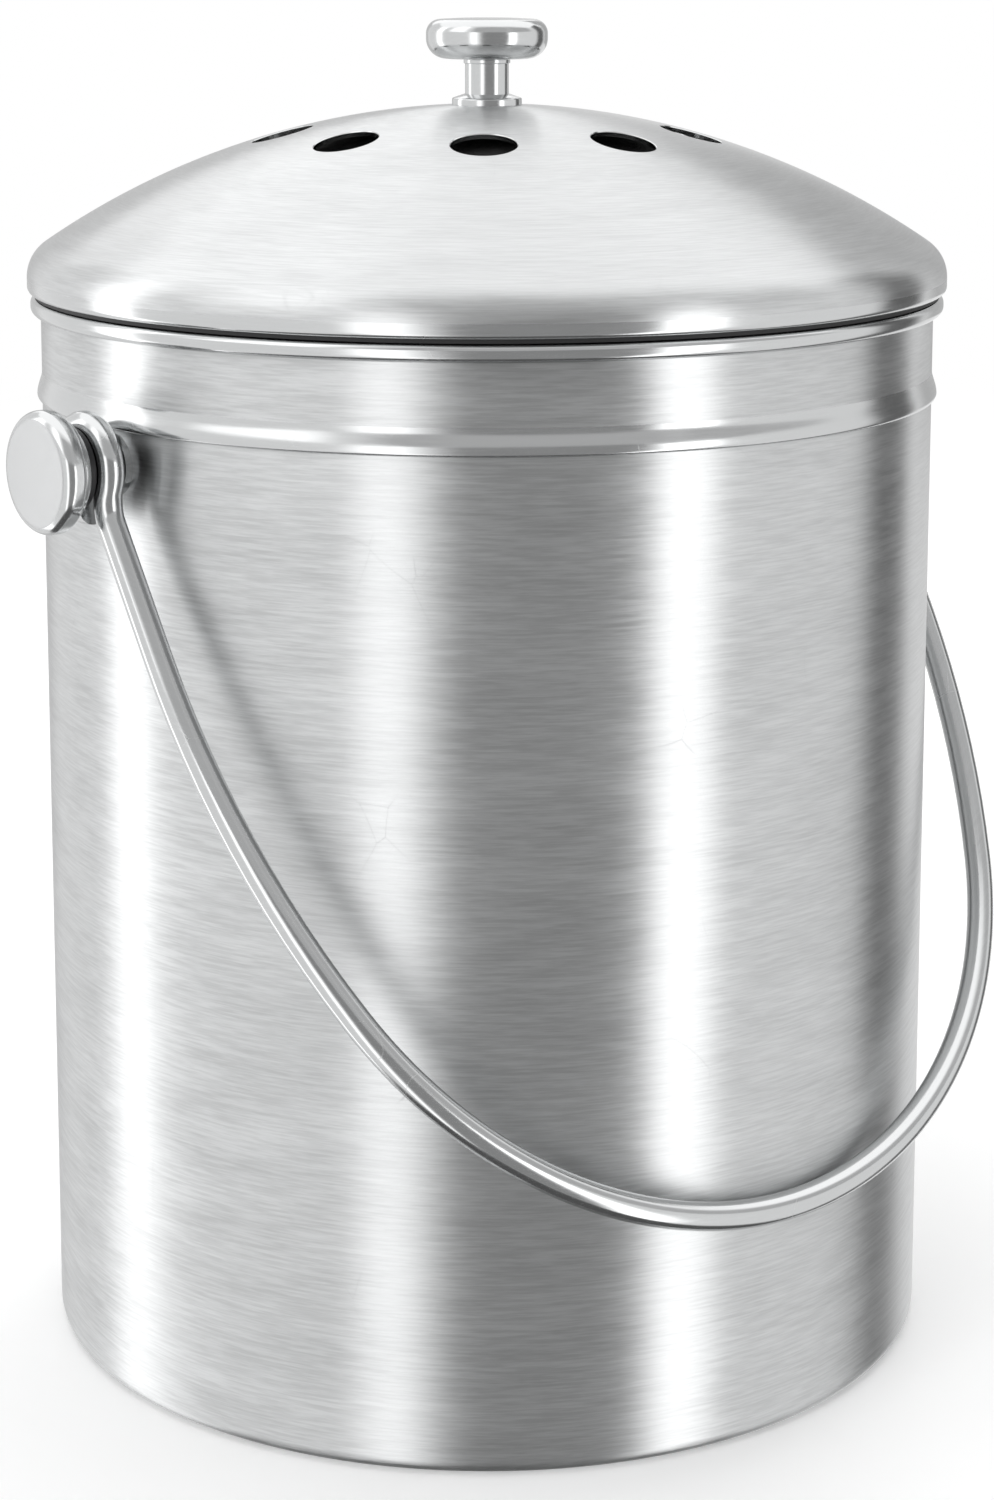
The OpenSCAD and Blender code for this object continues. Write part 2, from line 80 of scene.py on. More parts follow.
@dataclass
class NodeSheet:
    """A node tree with short ways to add and join its nodes."""

    tree: bpy.types.NodeTree

    def add(self, kind: str, **settings: object) -> bpy.types.Node:
        """Adds a node.

        Args:
            kind: Blender's name of the node's type.
            settings: properties that are set on the node.

        Returns:
            The new node.
        """
        node = self.tree.nodes.new(kind)
        for name, value in settings.items():
            setattr(node, name, value)
        return node

    def feed(self, socket: bpy.types.NodeSocket, value: object) -> None:
        """Joins a socket to another, or sets its plain value.

        Args:
            socket: the input that is fed.
            value: an output socket, a number or a colour.
        """
        if isinstance(value, bpy.types.NodeSocket):
            self.tree.links.new(value, socket)
        else:
            socket.default_value = value

    def fill(self, node: bpy.types.Node, values: dict[str, object]) -> bpy.types.Node:
        """Feeds several of a node's inputs.

        Args:
            node: the node.
            values: each input's name and what feeds it.

        Returns:
            The same node.
        """
        for title, value in values.items():
            self.feed(node.inputs[title], value)
        return node

    def group(self, tree: bpy.types.NodeTree, values: dict[str, float]) -> bpy.types.Node:
        """Places a shared group with its own values, by the names of its inputs."""
        return self.fill(self.add("ShaderNodeGroup", node_tree=tree), values)

    def where(self) -> bpy.types.NodeSocket:
        """Gives the piece's own Object coordinates."""
        return self.add("ShaderNodeTexCoord").outputs["Object"]

    def split(self, vector: bpy.types.NodeSocket) -> tuple[bpy.types.NodeSocket, ...]:
        """Takes a vector apart.

        Args:
            vector: the vector's socket.

        Returns:
            The sockets of its X, Y and Z.
        """
        node = self.add("ShaderNodeSeparateXYZ")
        self.feed(node.inputs[0], vector)
        return tuple(node.outputs)

    def length(self, vector: bpy.types.NodeSocket) -> bpy.types.NodeSocket:
        """Measures a vector.

        Args:
            vector: the vector's socket.

        Returns:
            The socket of its length.
        """
        node = self.add("ShaderNodeVectorMath", operation="LENGTH")
        self.feed(node.inputs[0], vector)
        return node.outputs["Value"]

    def math(self, operation: str, *values: object, clamp: bool = False) -> bpy.types.NodeSocket:
        """Adds a Math node.

        Args:
            operation: the node's operation.
            values: what its inputs take, in order.
            clamp: whether the result is kept from 0 to 1.

        Returns:
            The result's socket.
        """
        node = self.add("ShaderNodeMath", operation=operation, use_clamp=clamp)
        for socket, value in zip(node.inputs, values):
            self.feed(socket, value)
        return node.outputs[0]

    def blend(self, first: object, share: float, second: object) -> bpy.types.NodeSocket:
        """Mixes two values: a share of the first, up to 1, and the rest of the second."""
        rest = self.math("MULTIPLY", second, 1.0 - share)
        return self.math("MULTIPLY_ADD", first, share, rest, clamp=True)

    def span(self, value: object, low: float, high: float,
             to_low: float = 0.0, to_high: float = 1.0) -> bpy.types.NodeSocket:
        """Maps a value smoothly from one range to another.

        Args:
            value: the socket that is mapped.
            low: where the source range starts.
            high: where the source range ends.
            to_low: the result at low.
            to_high: the result at high.

        Returns:
            The result's socket.
        """
        node = self.add("ShaderNodeMapRange", interpolation_type="SMOOTHSTEP")
        for socket, item in zip(node.inputs, (value, low, high, to_low, to_high)):
            self.feed(socket, item)
        return node.outputs[0]

    def tint(self, factor: object, first: Colour, second: Colour) -> bpy.types.NodeSocket:
        """Mixes two colours.

        Args:
            factor: how much of the second colour there is.
            first: the first colour.
            second: the second colour.

        Returns:
            The mixed colour's socket.
        """
        node = self.add("ShaderNodeMix", data_type="RGBA")
        self.feed(node.inputs["Factor"], factor)
        # The node's colours are its inputs 6 and 7, after those for numbers and vectors.
        for socket, colour in zip(node.inputs[6:8], (first, second)):
            self.feed(socket, (*colour, 1.0))
        return node.outputs[2]

    def noise(self, vector: object, scale: object,
              detail: float = 2.0, roughness: float = 0.5) -> bpy.types.NodeSocket:
        """Gives a Noise Texture's value. Roughness is how strong its finer octaves are."""
        values = {"Vector": vector, "Scale": scale, "Detail": detail, "Roughness": roughness}
        return self.fill(self.add("ShaderNodeTexNoise"), values).outputs["Fac"]

    def cells(self, vector: object, scale: object, feature: str) -> bpy.types.NodeSocket:
        """Gives a Voronoi Texture's distance to the feature that is named."""
        node = self.add("ShaderNodeTexVoronoi", feature=feature)
        return self.fill(node, {"Vector": vector, "Scale": scale}).outputs["Distance"]

    def bump(self, shader: bpy.types.Node, height: bpy.types.NodeSocket, depth: float) -> None:
        """Gives a shader's surface a fine relief, of a height from 0 to 1 times a depth in metres."""
        node = self.fill(self.add("ShaderNodeBump"), {"Distance": depth, "Height": height})
        self.feed(shader.inputs["Normal"], node.outputs[0])

    def show_mix(self, mask: object, first: bpy.types.Node, second: bpy.types.Node) -> None:
        """Puts a mix of two shaders on the surface.

        Args:
            mask: how much of the second shader there is.
            first: the first shader.
            second: the second shader.
        """
        mix = self.add("ShaderNodeMixShader")
        for socket, value in zip(mix.inputs, (mask, first.outputs[0], second.outputs[0])):
            self.feed(socket, value)
        self.feed(self.tree.nodes["Material Output"].inputs["Surface"], mix.outputs[0])


def open_group(name: str, inputs: dict[str, float], outputs: tuple[str, ...]) -> tuple[NodeSheet, dict]:
    """Starts a shader node group with named value sockets.

    Args:
        name: the group's name.
        inputs: each input's name and its default.
        outputs: the outputs' names.

    Returns:
        The group's sheet, and the sockets of its inputs by name.
    """
    tree = bpy.data.node_groups.new(name, "ShaderNodeTree")
    for title, default in inputs.items():
        socket = tree.interface.new_socket(title, in_out="INPUT", socket_type="NodeSocketFloat")
        socket.default_value = default
    for title in outputs:
        tree.interface.new_socket(title, in_out="OUTPUT", socket_type="NodeSocketFloat")
    sheet = NodeSheet(tree)
    entry = sheet.add("NodeGroupInput")
    return sheet, {title: entry.outputs[title] for title in inputs}


def close_group(sheet: NodeSheet, results: dict[str, bpy.types.NodeSocket]) -> bpy.types.NodeTree:
    """Joins a group's results to its outputs by name, and gives the finished group."""
    sheet.fill(sheet.add("NodeGroupOutput"), results)
    return sheet.tree


@cache
def brushing_group(axis: Axis) -> bpy.types.NodeTree:
    """Makes, at its first use, the group of fine lines that a brush leaves round a turned piece.

    Args:
        axis: the axis that the lines run round.

    Returns:
        The group. Streak is broad and soft, Line is fine, and both run from 0 to 1.
    """
    inputs = {"Lines per Metre": 1800.0, "Breaks per Turn": 9.0, "Axis Height": 0.0}
    sheet, put = open_group(f"brushing_about_{axis.value.lower()}", inputs, ("Streak", "Line"))
    # The lines' coordinates are turned into streaks' by these shares of them.
    streak_share = (0.35, 0.35, 0.09)
    # A point on the axis itself counts as this far out.
    nearest = 0.01 * MM
    if axis is Axis.Z:
        across, up, along = sheet.split(sheet.where())
    else:
        along, across, up = sheet.split(sheet.where())
        up = sheet.math("SUBTRACT", up, put["Axis Height"])
    squares = (sheet.math("MULTIPLY", side, side) for side in (across, up))
    reach = sheet.math("MAXIMUM", sheet.math("SQRT", sheet.math("ADD", *squares)), nearest)
    spot = sheet.add("ShaderNodeCombineXYZ")
    for socket, side in zip(spot.inputs, (across, up)):
        turn = sheet.math("DIVIDE", side, reach)
        sheet.feed(socket, sheet.math("MULTIPLY", turn, put["Breaks per Turn"]))
    profile = sheet.math("SUBTRACT", reach, along)
    sheet.feed(spot.inputs[2], sheet.math("MULTIPLY", profile, put["Lines per Metre"]))
    line = sheet.noise(spot.outputs[0], scale=1.0, detail=3.0, roughness=0.65)
    broad = sheet.add("ShaderNodeVectorMath", operation="MULTIPLY")
    for socket, value in zip(broad.inputs, (spot.outputs[0], streak_share)):
        sheet.feed(socket, value)
    return close_group(sheet, {"Streak": sheet.noise(broad.outputs[0], scale=1.0), "Line": line})


@cache
def handling_group() -> bpy.types.NodeTree:
    """Makes, at its first use, the group of marks that hands and cloths leave.

    Returns:
        The group. Smudge is soft and wide, Scratch is thin and rare, and both run from 0 to 1.
    """
    inputs = {"Smudges per Metre": 28.0, "Scratches per Metre": 60.0}
    sheet, put = open_group("handling_marks", inputs, ("Smudge", "Scratch"))
    waves_per_metre, wave_reach = 14.0, (0.05, 0.05, 0.02)
    patches_per_metre, scratch_width = 45.0, 0.006
    where = sheet.where()
    cloud = sheet.noise(where, put["Smudges per Metre"], detail=3.0, roughness=0.55)
    wave = sheet.fill(sheet.add("ShaderNodeTexNoise"), {"Vector": where, "Scale": waves_per_metre})
    bent = sheet.add("ShaderNodeVectorMath", operation="MULTIPLY_ADD")
    for socket, value in zip(bent.inputs, (wave.outputs["Color"], wave_reach, where)):
        sheet.feed(socket, value)
    edge = sheet.cells(bent.outputs[0], put["Scratches per Metre"], "DISTANCE_TO_EDGE")
    thin = sheet.span(edge, low=0.0, high=scratch_width, to_low=1.0, to_high=0.0)
    rare = sheet.span(sheet.noise(where, patches_per_metre, detail=1.0), low=0.56, high=0.64)
    smudge, scratch = sheet.span(cloud, low=0.42, high=0.72), sheet.math("MULTIPLY", thin, rare)
    return close_group(sheet, {"Smudge": smudge, "Scratch": scratch})


@cache
def grain_group() -> bpy.types.NodeTree:
    """Makes, at its first use, the group of a moulded piece's fine pitted grain.

    Returns:
        The group. Pit is the grain and Bloom is a broad soft unevenness, from 0 to 1.
    """
    sheet, put = open_group("moulded_grain", {"Pits per Metre": 2600.0}, ("Pit", "Bloom"))
    blooms_per_metre = 90.0
    where = sheet.where()
    pit = sheet.cells(where, put["Pits per Metre"], "SMOOTH_F1")
    bloom = sheet.noise(where, blooms_per_metre, detail=3.0)
    return close_group(sheet, {"Pit": pit, "Bloom": bloom})


# ---- Finishes ----------------------------------------------------------------


def new_material(name: str) -> tuple[bpy.types.Material, NodeSheet, bpy.types.Node]:
    """Starts a material.

    Args:
        name: the material's name.

    Returns:
        The material, its sheet and its Principled BSDF.
    """
    material = bpy.data.materials.new(name)
    material.use_nodes = True
    return material, NodeSheet(material.node_tree), material.node_tree.nodes["Principled BSDF"]


@dataclass(frozen=True)
class SteelFinish:
    """Stainless steel, plain, polished, or brushed round an axis."""

    name: str
    tone: Colour = (0.585, 0.593, 0.596)
    roughness: float = 0.16
    uneven: float = 0.03
    anisotropy: float = 0.0
    brushed_about: Axis = Axis.Z
    axis_height: float = 0.0
    lines_per_metre: float = 1800.0
    fine_share: float = 0.65
    line_depth: float = 0.0
    streak_tone: float = 0.02
    scratch: float = 0.12

    def material(self) -> bpy.types.Material:
        """Builds the finish's material.

        Returns:
            The material, with its marks in roughness, colour and bump.
        """
        material, sheet, shader = new_material(self.name)
        values = {"Lines per Metre": self.lines_per_metre, "Axis Height": self.axis_height}
        brush = sheet.group(brushing_group(self.brushed_about), values)
        marks = sheet.group(handling_group(), {})
        fine = sheet.span(brush.outputs["Line"], low=0.3, high=0.7)
        broad = sheet.span(brush.outputs["Streak"], low=0.25, high=0.75)
        lines = sheet.blend(fine, self.fine_share, broad)
        dark, bright = (tuple(part * level for part in self.tone)
                        for level in (1.0 - self.streak_tone, 1.0 + self.streak_tone))
        smoothest, dullest = self.roughness - self.uneven, self.roughness + self.uneven
        rough = sheet.span(lines, low=0.0, high=1.0, to_low=smoothest, to_high=dullest)
        rough = sheet.math("MULTIPLY_ADD", marks.outputs["Smudge"], self.uneven / 2, rough)
        rough = sheet.math("MULTIPLY_ADD", marks.outputs["Scratch"], self.scratch, rough, clamp=True)
        tone = sheet.tint(lines, dark, bright)
        sheet.fill(shader, {"Base Color": tone, "Metallic": 1.0, "Roughness": rough})
        if self.anisotropy:
            quarter_turn = 0.25
            tangent = sheet.add("ShaderNodeTangent", direction_type="RADIAL", axis=self.brushed_about.value)
            sheet.fill(shader, {"Anisotropic": self.anisotropy, "Anisotropic Rotation": quarter_turn,
                                "Tangent": tangent.outputs[0]})
        if self.line_depth:
            sheet.bump(shader, brush.outputs["Line"], self.line_depth)
        return material


@dataclass(frozen=True)
class MouldedFinish:
    """A moulded black plastic or rubber with a fine pitted grain.

    Its roughness falls by rubbed and rises by dulled, from its cleanest spots to its oldest.
    """

    name: str
    tone: Colour = (0.012, 0.012, 0.013)
    worn_tone: Colour = (0.03, 0.03, 0.031)
    roughness: float = 0.42
    rubbed: float = 0.06
    dulled: float = 0.08
    specular: float = 0.4
    smudge_share: float = 0.5
    pits_per_metre: float = 2600.0
    pit_depth: float = 0.03 * MM

    def material(self) -> bpy.types.Material:
        """Builds the finish's material.

        Returns:
            The material, with grain in bump and bloom in colour and roughness.
        """
        material, sheet, shader = new_material(self.name)
        grain = sheet.group(grain_group(), {"Pits per Metre": self.pits_per_metre})
        marks = sheet.group(handling_group(), {})
        age = sheet.blend(marks.outputs["Smudge"], self.smudge_share, grain.outputs["Bloom"])
        smoothest, dullest = self.roughness - self.rubbed, self.roughness + self.dulled
        rough = sheet.span(age, low=0.2, high=0.8, to_low=smoothest, to_high=dullest)
        tone = sheet.tint(age, self.tone, self.worn_tone)
        sheet.fill(shader, {"Base Color": tone, "Roughness": rough, "Specular IOR Level": self.specular})
        sheet.bump(shader, grain.outputs["Pit"], self.pit_depth)
        return material


@dataclass(frozen=True)
class FilterFinish:
    """An open-celled foam or a needled felt."""

    name: str
    tone: Colour
    # The tone of the raised cells or fibres. The hollows take the darker tone as painted shade.
    raised_tone: Colour
    cells_per_metre: float
    cell_depth: float
    fibres: bool = False
    patches_per_metre: float = 70.0
    patch_share: float = 0.35
    roughness: tuple[float, float] = (0.88, 1.0)
    specular: float = 0.15
    sheen: float = 0.15

    def material(self) -> bpy.types.Material:
        """Builds the finish's material.

        Returns:
            The material, with cells or fibres in bump, and in colour as painted shade that darkens their
            hollows, mixed with random patches of tone.
        """
        material, sheet, shader = new_material(self.name)
        where = sheet.where()
        if self.fibres:
            height = sheet.noise(where, self.cells_per_metre, detail=5.0, roughness=0.75)
        else:
            height = sheet.cells(where, self.cells_per_metre, "F1")
        patch = sheet.noise(where, self.patches_per_metre, detail=3.0)
        # Painted shade: the colour follows the relief and is darker in the hollows, with a share of random
        # patches of tone.
        tone = sheet.tint(sheet.blend(patch, self.patch_share, height), self.tone, self.raised_tone)
        smoothest, dullest = self.roughness
        rough = sheet.span(patch, low=0.2, high=0.8, to_low=smoothest, to_high=dullest)
        sheet.fill(shader, {"Base Color": tone, "Roughness": rough,
                            "Specular IOR Level": self.specular, "Sheen Weight": self.sheen})
        sheet.bump(shader, height, self.cell_depth)
        return material


class Finish(Enum):
    """Every finish on the pail."""

    BODY = SteelFinish("brushed_body_steel", roughness=0.34, anisotropy=0.92,
                       line_depth=0.003 * MM, streak_tone=0.16)
    LID = SteelFinish("brushed_lid_steel", roughness=0.33, anisotropy=0.85,
                      line_depth=0.003 * MM, streak_tone=0.12)
    SATIN = SteelFinish("satin_inside_steel", roughness=0.36, anisotropy=0.6,
                        streak_tone=0.08, scratch=0.2)
    POLISHED = SteelFinish("polished_steel", roughness=0.15)
    CAP_FACE = SteelFinish("satin_cap_steel", tone=(0.47, 0.475, 0.478), roughness=0.4,
                           brushed_about=Axis.X, axis_height=PIVOT_HEIGHT)
    BAIL = SteelFinish("bail_steel", roughness=0.15, scratch=0.2)
    PLAIN = SteelFinish("plain_steel", roughness=0.3, uneven=0.06, streak_tone=0.06)
    PLASTIC = MouldedFinish("black_plastic")
    RUBBER = MouldedFinish("seal_rubber", roughness=0.6, pits_per_metre=1500.0)
    FOAM = FilterFinish("filter_foam", (0.03, 0.032, 0.035), (0.10, 0.105, 0.11),
                        cells_per_metre=900.0, cell_depth=0.6 * MM)
    CARBON = FilterFinish("filter_carbon", (0.018, 0.018, 0.018), (0.07, 0.07, 0.07),
                          cells_per_metre=1400.0, cell_depth=0.4 * MM, fibres=True)


@cache
def material_of(finish: Finish) -> bpy.types.Material:
    """Gives a finish's material, and builds it at its first use."""
    return finish.value.material()


# ---- Modelling ---------------------------------------------------------------


@dataclass
class Outline:
    """A half section that is drawn point by point, as (distance from the axis, height)."""

    points: list[tuple[float, float]] = field(default_factory=list)

    def to(self, reach: float, height: float) -> "Outline":
        """Draws a straight line to a point, at a reach from the axis and a height."""
        self.points.append((reach, height))
        return self

    def arc(self, reach: float, height: float, radius: float,
            start: float, end: float, steps: int) -> "Outline":
        """Draws an arc.

        Args:
            reach: its centre's distance from the axis.
            height: its centre's height.
            radius: its radius.
            start: the angle where it starts, in degrees above the outward direction.
            end: the angle where it ends.
            steps: how many lines it has.

        Returns:
            This outline.
        """
        for i in range(steps + 1):
            turn = math.radians(start + (end - start) * i / steps)
            self.to(reach + radius * math.cos(turn), height + radius * math.sin(turn))
        return self

    def ease(self, reach: float, height: float, steps: int) -> "Outline":
        """Draws a soft S to a point, upright at both ends.

        Args:
            reach: the point's distance from the axis.
            height: the point's height.
            steps: how many lines it has.

        Returns:
            This outline.
        """
        from_reach, from_height = self.points[-1]
        for i in range(1, steps + 1):
            part = i / steps
            share = part * part * (3 - 2 * part)
            self.to(from_reach + (reach - from_reach) * share, from_height + (height - from_height) * part)
        return self


def alone(piece: bpy.types.Object) -> None:
    """Selects a piece and nothing else, and makes it the active one.

    Args:
        piece: the piece.
    """
    bpy.ops.object.select_all(action="DESELECT")
    piece.select_set(True)
    bpy.context.view_layer.objects.active = piece


def edit(piece: bpy.types.Object) -> None:
    """Opens a piece in edit mode, alone and with all of it selected.

    Args:
        piece: the piece.
    """
    alone(piece)
    bpy.ops.object.mode_set(mode="EDIT")
    bpy.ops.mesh.select_all(action="SELECT")


def close_edit(clean: bool = True) -> None:
    """Leaves edit mode.

    Args:
        clean: whether doubles are merged and the faces are turned outwards first.
    """
    if clean:
        bpy.ops.mesh.select_all(action="SELECT")
        bpy.ops.mesh.remove_doubles(threshold=MERGE_WITHIN)
        bpy.ops.mesh.normals_make_consistent(inside=False)
    bpy.ops.object.mode_set(mode="OBJECT")


def smooth(piece: bpy.types.Object, sharpest: float = 32.0) -> None:
    """Shades a piece smooth, except at edges that are sharper than this angle in degrees."""
    alone(piece)
    bpy.ops.object.shade_smooth_by_angle(angle=math.radians(sharpest))


def turned(name: str, outline: Outline, sides: int) -> bpy.types.Object:
    """Turns an outline once round +Z.

    Args:
        name: the piece's name.
        outline: its half section, closed or with both ends on the axis.
        sides: how many faces there are round the axis.

    Returns:
        The piece.
    """
    bpy.ops.object.select_all(action="DESELECT")
    bpy.ops.mesh.primitive_plane_add(size=MM)
    piece = bpy.context.object
    piece.name = name
    edit(piece)
    bpy.ops.mesh.merge(type="CENTER")
    reach, height = outline.points[0]
    bpy.ops.transform.translate(value=(reach, 0.0, height))
    for (r0, z0), (r1, z1) in zip(outline.points, outline.points[1:]):
        if abs(r1 - r0) + abs(z1 - z0) > SAME_POINT:
            move = {"value": (r1 - r0, 0.0, z1 - z0)}
            bpy.ops.mesh.extrude_vertices_move(TRANSFORM_OT_translate=move)
    bpy.ops.mesh.select_all(action="SELECT")
    bpy.ops.mesh.spin(steps=sides, angle=2 * math.pi, center=(0.0, 0.0, 0.0), axis=(0.0, 0.0, 1.0))
    close_edit()
    smooth(piece)
    return piece


def settle(piece: bpy.types.Object) -> None:
    """Puts a piece's turn, size and place into its mesh, so that its object stands at the origin."""
    alone(piece)
    bpy.ops.object.transform_apply(location=True, rotation=True, scale=True)


def apply_modifier(piece: bpy.types.Object, kind: str, **settings: object) -> None:
    """Adds a modifier and applies it.

    Args:
        piece: the piece.
        kind: Blender's name of the modifier's type.
        settings: properties that are set on the modifier.
    """
    alone(piece)
    modifier = piece.modifiers.new(kind.lower(), kind)
    for name, value in settings.items():
        setattr(modifier, name, value)
    bpy.ops.object.modifier_apply(modifier=modifier.name)


def wear(piece: bpy.types.Object, *finishes: Finish,
         zone: Callable[[Vector, Vector], Finish] | None = None) -> None:
    """Gives a piece its finish, or each of its faces one of several.

    Args:
        piece: the piece.
        finishes: its finishes, in the order of their slots.
        zone: tells a face's finish from its centre and its normal.
    """
    piece.data.materials.clear()
    for finish in finishes:
        piece.data.materials.append(material_of(finish))
    if zone:
        for face in piece.data.polygons:
            face.material_index = finishes.index(zone(face.center, face.normal))


def dress(finish: Finish, *nodes: str) -> None:
    """Gives CAD nodes their finish.

    Args:
        finish: the finish.
        nodes: the nodes' names.
    """
    for node in nodes:
        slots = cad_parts[node].data.materials
        slots.clear()
        slots.append(material_of(finish))


def fit(piece: bpy.types.Object, body: str, slot: str, *nodes: str) -> None:
    """Lets a finished piece ride on its body and stand for its CAD nodes.

    Args:
        piece: the piece.
        body: the body's name.
        slot: not used.
        nodes: the CAD nodes that it stands for.
    """
    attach(piece, body)
    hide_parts(*nodes)
    log.info("%s: %d faces on %s", piece.name, len(piece.data.polygons), body)


# ---- Pail --------------------------------------------------------------------


@dataclass
class Pail:
    """The drawn pail: a flat base, a straight wall, a pressed rib, a rolled rim and its pivot caps."""

    sheet: float = 0.8 * MM
    corner: float = 3.0 * MM
    panel_radius: float = 62.0 * MM
    panel_rise: float = 0.5 * MM
    panel_step: float = 3.0 * MM
    rib_low: float = 192.1 * MM
    rib_high: float = 197.3 * MM
    rib_out: float = 1.0 * MM
    rib_edge: float = 0.75 * MM
    rim_out: float = 2.0 * MM
    rim_height: float = 3.4 * MM
    crown: float = 1.5 * MM
    curl_end: float = -100.0
    sides: int = 288
    cap_steps: int = 2
    cap_step_in: float = 1.4 * MM
    cap_step: float = 1.2 * MM
    cap_edge: float = 2.2 * MM
    cap_soft: float = 0.35 * MM
    cap_sides: int = 128

    def outline(self) -> Outline:
        """Draws the section: the outer face, the curl, then the inner face.

        Returns:
            The closed section.
        """
        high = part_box("pail_body")[1]
        wall, top = high.x - self.rim_out, high.z
        bore = wall - self.sheet
        curl = (self.sheet + self.rim_out) / 2
        hollow = curl - self.sheet
        curl_x, curl_top, curl_low = bore + curl, top - curl, top - self.rim_height + curl
        foot, step_end = wall - self.corner, self.panel_radius + self.panel_step
        rib_x, rib_z = wall + self.rib_out - self.rib_edge, self.rib_low + self.rib_edge
        floor = self.sheet + self.panel_rise
        draw = Outline().to(0.0, self.panel_rise).to(self.panel_radius, self.panel_rise)
        draw.to(step_end, 0.0)
        draw.arc(foot, self.corner, self.corner, DOWN, OUT, steps=10)
        draw.to(wall, self.rib_low)
        draw.arc(rib_x, rib_z, self.rib_edge, DOWN, OUT, steps=6)
        draw.ease(wall, self.rib_high, steps=12)
        draw.arc(curl_x, curl_top, hollow, IN, OUT, steps=12)
        draw.arc(curl_x, curl_low, hollow, OUT, self.curl_end, steps=8)
        draw.arc(curl_x, curl_low, curl, self.curl_end, OUT, steps=12)
        draw.arc(curl_x, curl_top, curl, OUT, IN, steps=20)
        draw.to(bore, self.rib_high).ease(bore + self.rib_out, rib_z, steps=10)
        draw.ease(bore, self.rib_low - self.rib_edge, steps=4)
        draw.arc(foot, self.corner, self.corner - self.sheet, OUT, DOWN, steps=8)
        return draw.to(step_end, self.sheet).to(self.panel_radius, floor).to(0.0, floor)

    def build(self) -> None:
        """Builds the pail's shell and caps, and dresses the other pieces that are fixed to it."""
        shell = turned("pail_shell", self.outline(), self.sides)
        wear(shell, Finish.BODY, Finish.POLISHED, Finish.SATIN, zone=self.zones())
        fit(shell, "pail", "brushed_body", "pail_body")
        for side in ("left", "right"):
            dress(Finish.POLISHED, f"{side}_pivot_post")
            dress(Finish.PLASTIC, f"{side}_eye_bush")
            dress(Finish.PLAIN, f"{side}_pivot_screw", f"{side}_backing_washer")
            self.build_cap(side)

    def zones(self) -> Callable[[Vector, Vector], Finish]:
        """Plans the shell's finishes.

        Returns:
            What tells the brushed outside from the polished rib and rim and the satin inside.
        """
        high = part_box("pail_body")[1]
        wall, slack = high.x - self.rim_out, 0.1 * MM
        crown_foot, curl_foot = high.z - self.crown, high.z - self.rim_height - 2 * slack
        base_share, faces_in = 0.8, -0.9

        def zone(centre: Vector, normal: Vector) -> Finish:
            """Tells a face's finish.

            Args:
                centre: the face's centre.
                normal: its normal.

            Returns:
                Its finish.
            """
            reach = math.hypot(centre.x, centre.y)
            outward = (normal.x * centre.x + normal.y * centre.y) / max(reach, MM)
            on_rim = centre.z > crown_foot or (centre.z > curl_foot and reach > wall + slack)
            at_rib = self.rib_low - slack < centre.z < self.rib_high and reach > wall - slack
            if on_rim or (at_rib and outward > faces_in):
                return Finish.POLISHED
            outside = reach > wall - 3 * slack or centre.z < self.sheet * base_share
            return Finish.BODY if outside else Finish.SATIN

        return zone

    def build_cap(self, side: str) -> None:
        """Builds a stepped pivot cap.

        Args:
            side: left or right.
        """
        low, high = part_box(f"{side}_pivot_cap")
        radius, length = (high.z - low.z) / 2, high.x - low.x
        count, step, soft, edge = self.cap_steps, self.cap_step, self.cap_soft, self.cap_edge
        draw = Outline().to(0.0, 0.0)
        for i in range(count):
            start, reach = i * step, radius - (count - i) * self.cap_step_in
            draw.arc(reach - soft, start + soft, soft, DOWN, OUT, steps=4)
            draw.to(reach, start + step - soft / 2)
        draw.arc(radius - edge / 2, count * step + edge / 2, edge / 2, DOWN, OUT, steps=8)
        draw.arc(radius - edge, length - edge, edge, OUT, UP, steps=14).to(0.0, length)
        cap = turned(f"{side}_cap", draw, self.cap_sides)
        inner, outer, turn = (low.x, high.x, UP) if side == "right" else (high.x, low.x, DOWN)
        cap.rotation_euler = (0.0, math.radians(turn), 0.0)
        cap.location = (inner, 0.0, (low.z + high.z) / 2)
        settle(cap)
        face_start = abs(outer) - 0.1 * MM

        def zone(centre: Vector, normal: Vector) -> Finish:
            """Tells the satin outer face from the polished rest."""
            return Finish.CAP_FACE if abs(centre.x) > face_start else Finish.POLISHED

        wear(cap, Finish.POLISHED, Finish.CAP_FACE, zone=zone)
        fit(cap, "pail", "polished_steel", f"{side}_pivot_cap")


# ---- Bail --------------------------------------------------------------------


